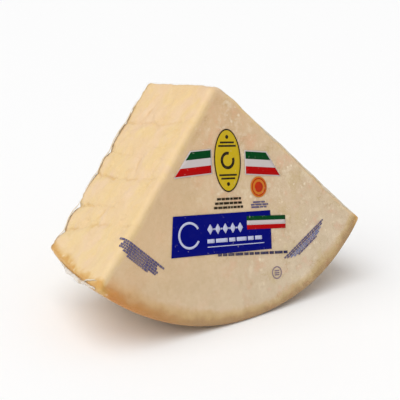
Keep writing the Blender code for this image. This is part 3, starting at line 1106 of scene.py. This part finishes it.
def divided(outline):
    """The outline with points no further apart than PRINT_STEP."""
    points = []
    for (u, v), (s, t) in zip(outline, outline[1:] + outline[:1]):
        count = max(1, ceil(hypot(s - u, t - v) / PRINT_STEP))
        points += [(u + (s - u) * i / count, v + (t - v) * i / count) for i in range(count)]
    return points


def words(left, right, middle, height, seed, gap, sizes, slope):
    """A line of plain bars, uneven in length, in place of small print."""
    draw = random.Random(seed)
    bars = []
    u = left
    while u < right - sizes[0] * SHORTEST_BAR:
        end = min(right, u + draw.uniform(*sizes))
        bars.append(slab(u, end, middle + height / 2, middle - height / 2, slope))
        u = end + gap
    return bars


BAND_TOP = (10.6, 8.9)      # the tricolour band's top line, left and right half
BAND_SLOPE = (0.074, -0.060)
STRIPE = 6.55               # height of each of its stripes
BAND_INNER = (17.7, 20.3)
BAND_OUTER = (38.6, 43.6)   # where its top line ends
BAND_CUT = (5.9, 5.2)       # each stripe reaches this much further out
HALO = 1.0                  # white ink shows round the band


def band_field(half, first, last, margin=0.0):
    """A half of the tricolour band, from one of its lines to another."""
    top = BAND_TOP[half] - first * STRIPE + margin
    bottom = BAND_TOP[half] - last * STRIPE - margin
    inner = BAND_INNER[half] - margin
    outer = BAND_OUTER[half] + first * BAND_CUT[half] + margin
    cut = (last - first) * BAND_CUT[half]
    if half == 0:
        return slab(-outer, -inner, top, bottom, BAND_SLOPE[0], cut, 0.0)
    return slab(inner, outer, top, bottom, BAND_SLOPE[1], 0.0, cut)


class Print:
    """Shapes for each ink, as (layer, outlines in X and Z of the wheel's frame)."""

    def __init__(self):
        self.shapes = {ink: [] for ink in INKS}

    def add(self, ink, layer, *outlines, mapped=print_to_wheel):
        """A field of one ink; outlines after the first are holes in it."""
        fields = [[mapped(point) for point in divided(outline)] for outline in outlines]
        self.shapes[ink].append((layer, fields))

    def write(self, ink, layer, *line, slope=0.0, mapped=print_to_wheel):
        """A line of bars, as words() makes it."""
        for bar in words(*line, slope):
            self.add(ink, layer, bar, mapped=mapped)


def print_band(p):
    """The tricolour band, on white ink that shows round it."""
    for half in (0, 1):
        p.add("white", 0, band_field(half, 0, 3, HALO))
        p.add("green", 1, band_field(half, 0, 1))
        p.add("red", 1, band_field(half, 2, 3))


def print_badge(p):
    """An upright yellow oval with a dark rim and a plain wheel in it."""
    u = 0.3
    field = oval(u, 0.0, 14.6, 27.4, 56)
    p.add("yellow", 1, field)
    p.add("dark", 2, field, oval(u, 0.0, 13.5, 26.2, 56))
    p.add("dark", 2, cut_ring(u, 0.0, 7.6, 5.0, radians(20.0), radians(56.0)))
    for v, half in ((12.6, 9.6), (-12.6, 9.6), (15.6, 7.6), (-15.6, 7.6)):
        p.add("dark", 2, slab(u - half, u + half, v + 0.8, v - 0.8))
    for v in (20.4, -20.4):
        p.add("dark", 2, oval(u, v, 1.7, 1.7, 16))


def print_roundel(p):
    """A plain roundel in orange and red."""
    u, v = 34.1, -24.0
    p.add("orange", 1, oval(u, v, 9.3, 9.3))
    p.add("red", 2, oval(u, v, 7.9, 7.9), oval(u, v, 7.0, 7.0))
    p.add("ember", 2, oval(u, v, 4.6, 4.6, 28))


PANEL = (-59.6, 46.4, -45.4, -80.0)  # the blue field: left, right, top and bottom
PANEL_SLOPE = 0.006
LOZENGES = 5
LOZENGE_PITCH = 8.2
LOZENGE_HALF = (3.1, 4.5)   # half its width and height
LOZENGE_START = (-21.5, -58.5)  # middle of the first
FLAG = (19.0, 63.5)         # left and right end of the small tricolour
FLAG_TOP = -48.7
FLAG_STRIPE = 3.9
FLAG_SLOPE = -0.025


def print_lozenges(p):
    """A row of lozenges with a dot between each two."""
    half_width, half_height = LOZENGE_HALF
    start, v = LOZENGE_START
    for index in range(LOZENGES):
        u = start + LOZENGE_PITCH * index
        p.add("pale", 1, [(u, v + half_height), (u - half_width, v),
                          (u, v - half_height), (u + half_width, v)])
    for index in range(LOZENGES - 1):
        p.add("pale", 1, oval(start + LOZENGE_PITCH * (index + 0.5), v, 0.8, 0.8, 10))


def print_panel(p):
    """The blue field: a plain wheel and bars in pale ink, and a small tricolour."""
    p.add("blue", 0, slab(*PANEL, PANEL_SLOPE, 3.4, 0.2))
    p.add("pale", 1, cut_ring(-43.5, -62.6, 11.6, 9.6, radians(-28.0), radians(58.0)))
    print_lozenges(p)
    p.write("pale", 1, -25.0, 38.0, -68.6, 3.4, 8, 1.6, (6.0, 13.0))
    p.add("pale", 1, slab(-25.0, 38.0, -73.2, -73.9))
    for index, ink in enumerate(("green", "white", "red")):
        top = FLAG_TOP - FLAG_STRIPE * index
        p.add(ink, 2, slab(*FLAG, top, top - FLAG_STRIPE, FLAG_SLOPE))
    p.write("navy", 0, -14.0, 65.0, -81.5, 2.4, 31, 1.1, (4.0, 11.0), slope=-0.034)


def print_small(p):
    """Rows of small print as plain bars."""
    for row, (left, right) in enumerate(((-12.8, 13.6), (-15.0, 14.4), (-16.4, 15.6))):
        p.write("dark", 0, left, right, -33.2 - 3.7 * row, 2.0, 10 + row, 0.7, (2.0, 6.0))
    for row, (left, right) in enumerate(((27.0, 40.5), (24.7, 44.2), (24.9, 43.6))):
        p.write("violet", 0, left, right, -37.3 - 2.2 * row, 1.4, 20 + row, 0.8, (3.0, 9.0))


# Stamped rows: (inward from the left edge, where they start and end) of each row, in mm.
STAMP_ROWS = ((-5.3, 46.6), (0.5, 38.5), (-1.0, 40.0), (-1.5, 42.0), (3.5, 41.0), (9.0, 33.0))
STAMP_ALONG = 160.9         # of the first row, down the left edge
STAMP_PITCH = 2.1
SICKLE_START, SICKLE_END = Vector((61.1, -89.4)), Vector((109.9, -56.7))
SICKLE_INKS = ("violet", "violet", "steel", "steel", "violet")
SICKLE_PITCH = 1.9
SICKLE_HALF = 29.2          # half the length of its first row
SICKLE_DEPTH = 9.8          # from its chord to the middle of its arc
RING_PLACE = (51.7, -101.4)


def print_stamps(p):
    """Stamped rows that wrap over the left edge, and a small ring with bars in it."""
    for row, (left, right) in enumerate(STAMP_ROWS):
        along = STAMP_ALONG + STAMP_PITCH * row
        p.write("violet", 0, left, right, along, 1.75, 40 + row, 0.45, (1.2, 3.6),
                mapped=left_edge_to_wheel)
    p.add("faint", 0, oval(*RING_PLACE, 5.7, 5.7), oval(*RING_PLACE, 4.7, 4.7))
    for v in (-99.6, -101.6, -103.4):
        p.add("faint", 0, slab(49.0, 54.4, v + 0.5, v - 0.5))


def print_sickle(p):
    """Stamped rows in the shape of a sickle, each shorter than the one before."""
    way = (SICKLE_END - SICKLE_START).normalized()
    side = Vector((way.y, -way.x))
    middle = (SICKLE_START + SICKLE_END) / 2
    for row, ink in enumerate(SICKLE_INKS):
        offset = SICKLE_PITCH * row
        half = SICKLE_HALF * sqrt(1 - offset / SICKLE_DEPTH)
        for bar in words(-half, half, offset, 1.4, 60 + row, 0.6, (1.4, 4.4), 0.0):
            p.add(ink, 0, [tuple(middle + way * a + side * b) for a, b in bar])


RAY_REACH = 0.08            # how far rays onto the bag go
PRINT_RAY_START = 0.03      # and how far in front of the sawn face the print's start
WRAP_RAY_START = 0.01       # and outside the rounded edge


def onto_bag(start, inward, missed, lift, film_tree):
    """Where a ray of the wheel's frame meets the bag, lifted off it, in the part's frame."""
    way = WHEEL_TURN @ inward
    hit = film_tree.ray_cast(WHEEL @ start, way, RAY_REACH)[0]
    return (hit or WHEEL @ missed) - way * lift


def on_film(x, z, lift, film_tree):
    """A print point laid onto the bag: straight in on the front face, and round the
    front's left edge by arc length where the print runs over it."""
    start = Vector((x, -PRINT_RAY_START, z))
    inward = Vector((0.0, 1.0, 0.0))
    gone = Vector((x, z)).dot(LEFT_OUT) + FRONT_ROUND_LEFT
    if gone > 0:
        angle = min(gone / FRONT_ROUND_LEFT, pi / 2)
        rest = max(0.0, gone - FRONT_ROUND_LEFT * pi / 2)
        depth = FRONT_ROUND_LEFT * (1 - cos(angle)) + rest
        across = LEFT_OUT * FRONT_ROUND_LEFT * (sin(angle) - 1)
        across += LEFT_DOWN * Vector((x, z)).dot(LEFT_DOWN)
        inward = -Vector((LEFT_OUT.x * sin(angle), -cos(angle), LEFT_OUT.y * sin(angle)))
        start = Vector((across.x, depth, across.y)) - inward * WRAP_RAY_START
    return onto_bag(start, inward, Vector((x, 0.0, z)), lift, film_tree)


def flat_fields(mesh, shapes):
    """Fills each shape's outlines in the flat, with Y as the layer's number."""
    for layer, outlines in shapes:
        edges = []
        for outline in outlines:
            verts = [mesh.verts.new((x, layer * MM, z)) for x, z in outline]
            edges += [mesh.edges.new((a, b)) for a, b in zip(verts, verts[1:] + verts[:1])]
        bmesh.ops.triangle_fill(mesh, edges=edges, use_beauty=True)
    longest = LONGEST_EDGE * PRINT_STEP * MM
    long = [edge for edge in mesh.edges if edge.calc_length() > longest]
    while long:
        bmesh.ops.subdivide_edges(mesh, edges=long, cuts=1)
        bmesh.ops.triangulate(mesh, faces=mesh.faces[:])
        long = [edge for edge in mesh.edges if edge.calc_length() > longest]


def print_object(ink, shapes, film_tree):
    """One ink's fields as thin plates on the film."""
    mesh = bmesh.new()
    flat_fields(mesh, shapes)
    under = mesh.verts[:]
    made = bmesh.ops.extrude_face_region(mesh, geom=mesh.faces[:])["geom"]
    over = [item for item in made if isinstance(item, bmesh.types.BMVert)]
    for verts, extra in ((under, 0.0), (over, INK_THICKNESS)):
        for vert in verts:
            lift = PRINT_LIFT + LAYER_LIFT * vert.co.y / MM + extra
            vert.co = on_film(vert.co.x, vert.co.z, lift, film_tree)
    bmesh.ops.recalc_face_normals(mesh, faces=mesh.faces[:])
    name = "print_" + ink
    data = bpy.data.meshes.new(name)
    mesh.to_mesh(data)
    mesh.free()
    return placed(name, data, ink_material("ink " + ink, *INKS[ink]))


# ---- spare, folded film

LIP_FROM, LIP_TO = 0.007, 0.085  # depths between which a pleat stands on the left edge
LIP_HEIGHT = 0.0038
LIP_WIDTH = 0.0030
LIP_THINNEST = 0.0004       # least half height and half width, at its ends
LIP_TAPER = 0.7             # the larger, the longer the pleat's thin ends
LIP_STATIONS = 130
LIP_SIDES = 10
# Its unevenness: (amount, size along the pleat).
LIP_SWELL = (0.5, 0.012)
LIP_PINCH = (0.28, 0.0045)
LIP_SWAY = (0.18, 0.016)
LIP_CRINKLE = (0.4, 0.0022)
LIP_CRINKLE_TURN = 1.4      # how much the crinkles change round it
LIP_RISE = 0.7              # of its middle off the edge, as a share of half its height
LIP_LEAN = 0.55             # where it stands on the rounded edge, from 0 to 1
FOLD_STEP = 0.0018          # distance between a fold's cross-sections
FOLD_SINK = 0.00015
FOLD_CROWN = 0.35           # share of its width that is flat on top
FOLD_TAPER = 6              # an end takes up this part of its length, such as a sixth
FOLD_THINNEST = (0.12, 0.02)  # least half width and height, in millimetres
FOLD_STRAY = (0.9, 0.008)   # in millimetres, over this distance
FOLD_SWELL = (0.6, 0.005)
RAY_START = 0.02            # rays onto the bag start this far outside it

# Folds of the bag: side, then both ends on it, half the width, the height and the bend,
# all in millimetres. Ends are (right, up) on the front, and (along, depth) elsewhere.
FOLDS = (
    ("front", (36.0, -37.0), (142.0, -143.0), 1.4, 0.25, 0.3),
    ("left", (10.0, 112.2), (110.0, 112.2), 1.2, 0.22, -0.3),
    ("left", (122.0, 112.0), (166.0, 112.0), 1.2, 0.25, 0.3),
    ("left", (201.6, 31.0), (201.0, 7.0), 0.7, 0.32, -0.6),
    ("right", (20.0, 111.0), (166.0, 111.2), 1.3, 0.25, -0.4),
)


def strand_faces(stations, sides):
    """The faces of a closed strand made of rings."""
    faces = []
    for i in range(stations - 1):
        for k in range(sides):
            n = (k + 1) % sides
            a, b = sides * i, sides * (i + 1)
            faces.append((a + k, a + n, b + n, b + k))
    last = sides * (stations - 1)
    faces.append(tuple(reversed(range(sides))))
    faces.append(tuple(range(last, last + sides)))
    return faces


def lip_form(share, depth):
    """The pleat's half height and half width here, and where on the edge it stands."""
    def uneven(kind, *place):
        amount, size = kind
        return amount * noise.noise(Vector((depth / size, *place)))
    fullness = sin(pi * share) ** LIP_TAPER * (1.0 + uneven(LIP_SWELL, 3.7, 0.0))
    pinch = 1.0 + uneven(LIP_PINCH, 0.0, 5.2)
    height = max(LIP_THINNEST, LIP_HEIGHT * fullness * pinch / 2)
    width = max(LIP_THINNEST, LIP_WIDTH * (0.5 + 0.5 * fullness) / 2)
    return height, width, LIP_LEAN + uneven(LIP_SWAY, 0.0, 8.1)


def film_lip():
    """A crinkled pleat of spare film along the lower edge of the left face."""
    verts = []
    for i in range(LIP_STATIONS):
        share = i / (LIP_STATIONS - 1)
        depth = LIP_FROM + share * (LIP_TO - LIP_FROM)
        height, width, lean = lip_form(share, depth)
        base, out = outline_point(("left corner", 0, lean), depth, FILM)[:2]
        across = Vector((-out.y, out.x))
        for k in range(LIP_SIDES):
            angle = 2 * pi * k / LIP_SIDES
            amount, size = LIP_CRINKLE
            here = Vector((depth / size, LIP_CRINKLE_TURN * cos(angle),
                           LIP_CRINKLE_TURN * sin(angle)))
            crinkle = 1.0 + amount * noise.noise(here)
            place = base + out * height * (LIP_RISE + cos(angle) * crinkle)
            place += across * width * sin(angle) * crinkle
            verts.append(WHEEL @ Vector((place.x, depth, place.y)))
    mesh = new_mesh("film_lip", verts, strand_faces(LIP_STATIONS, LIP_SIDES))
    return placed("film_lip", mesh, spare_film_material(
        "gathered film", 0.9, linear(232, 224, 214), linear(208, 187, 160)))


def on_side(side, a, b, lift, film_tree):
    """A point on one side of the bag, lifted off it."""
    if side == "front":
        start, inward = Vector((a, -RAY_START, b)), Vector((0.0, 1.0, 0.0))
    else:
        down, out = (LEFT_DOWN, LEFT_OUT) if side == "left" else (RIGHT_DOWN, RIGHT_OUT)
        place = down * a + out * RAY_START
        start, inward = Vector((place.x, b, place.y)), -Vector((out.x, 0.0, out.y))
    return onto_bag(start, inward, start + inward * RAY_START, lift, film_tree)


def fold_rings(fold, film_tree):
    """The cross-sections of one fold, each with four corners."""
    side, first, last, half_width, height, bend = fold
    first, last = Vector(first) * MM, Vector(last) * MM
    run = last - first
    across = Vector((-run.y, run.x)).normalized()
    count = ceil(run.length / FOLD_STEP)
    rings = []
    for i in range(count + 1):
        share = i / count
        gone = share * run.length
        stray = noise.noise(Vector((gone / FOLD_STRAY[1], first.x * 90, first.y * 90)))
        sideways = bend * sin(pi * share) + FOLD_STRAY[0] * stray
        middle = first + run * share + across * sideways * MM
        taper = min(1.0, FOLD_TAPER * share, FOLD_TAPER * (1 - share))
        swell = 1.0 + FOLD_SWELL[0] * noise.noise(Vector((gone / FOLD_SWELL[1], first.y * 70, 2.5)))
        wide = max(FOLD_THINNEST[0], half_width * taper * swell) * MM
        high = max(FOLD_THINNEST[1], height * taper * swell) * MM
        crown = FOLD_CROWN * wide
        for offset, lift in ((-wide, -FOLD_SINK), (-crown, high),
                             (crown, high), (wide, -FOLD_SINK)):
            place = middle + across * offset
            rings.append(on_side(side, place.x, place.y, lift, film_tree))
    return rings, count + 1


def film_folds(film_tree):
    """Thin folds of the bag along its edges."""
    verts, faces = [], []
    for fold in FOLDS:
        rings, stations = fold_rings(fold, film_tree)
        for face in strand_faces(stations, 4):
            faces.append(tuple(len(verts) + corner for corner in face))
        verts += rings
    return placed("film_folds", new_mesh("film_folds", verts, faces), spare_film_material(
        "folded film", 0.85, linear(238, 222, 196), linear(224, 200, 164)))


# ---- camera and light

CAMERA_PLACE = Vector((-0.56087, -0.72273, 0.39236))
CAMERA_RIGHT = Vector((0.78969, -0.61320, 0.01914))
CAMERA_UP = Vector((0.17963, 0.26093, 0.94850))
CAMERA_LENS = 95.04         # in millimetres, as the sensor's width
SENSOR = 36.0


def add_camera():
    """The photograph's view: from the left, a little above."""
    data = bpy.data.cameras.new("camera")
    data.lens = CAMERA_LENS
    data.sensor_width = SENSOR
    camera = linked("camera", data)
    back = CAMERA_RIGHT.cross(CAMERA_UP)
    facing = Matrix((CAMERA_RIGHT, CAMERA_UP, back)).transposed().to_4x4()
    camera.matrix_world = Matrix.Translation(CAMERA_PLACE) @ facing
    bpy.context.scene.camera = camera


KEY_FROM = Vector((-0.53, -0.05, 0.846))  # where the soft main light comes from
KEY_POWER = 2.02
KEY_SOFTNESS = radians(70.0)
SKY = 0.49                  # strength of the pale surroundings
FLOOR_REACH = 12.0          # half the floor's width
FLOOR_COLOUR = shade(0.96, 0.96, 0.96)


def add_floor():
    """A plain white floor."""
    far = FLOOR_REACH
    corners = [(-far, -far, 0), (far, -far, 0), (far, far, 0), (-far, far, 0)]
    mesh = new_mesh("floor", corners, [(0, 1, 2, 3)])
    mesh.materials.append(Shader("floor", 0.9, FLOOR_COLOUR).material)
    floor = linked("floor", mesh)


def add_light():
    """Pale surroundings, and one large soft light from above left."""
    world = bpy.data.worlds.new("studio")
    world.use_nodes = True
    background = world.node_tree.nodes["Background"]
    background.inputs["Color"].default_value = WHITE
    background.inputs["Strength"].default_value = SKY
    bpy.context.scene.world = world
    data = bpy.data.lights.new("key", "SUN")
    data.energy = KEY_POWER
    data.angle = KEY_SOFTNESS
    key = linked("key", data)
    key.rotation_euler = KEY_FROM.to_track_quat("Z", "Y").to_euler()
    bpy.context.scene.view_settings.view_transform = "Standard"


# ---- making

def belongs(piece):
    """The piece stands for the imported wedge, and moves with it."""
    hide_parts("cheese_wedge")
    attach(piece, "root")


add_camera()
add_floor()
add_light()

belongs(skin_object("cheese_body", CHEESE, cheese_material()))

film = skin_object("clear_film", FILM, film_material())
belongs(film)
belongs(film_lip())

film_tree = BVHTree.FromPolygons([vert.co for vert in film.data.vertices],
                                 [face.vertices[:] for face in film.data.polygons])
belongs(film_folds(film_tree))
artwork = Print()
for part_of_print in (print_band, print_badge, print_roundel, print_panel, print_small,
                      print_stamps, print_sickle):
    part_of_print(artwork)
for ink, shapes in artwork.shapes.items():
    belongs(print_object(ink, shapes, film_tree))
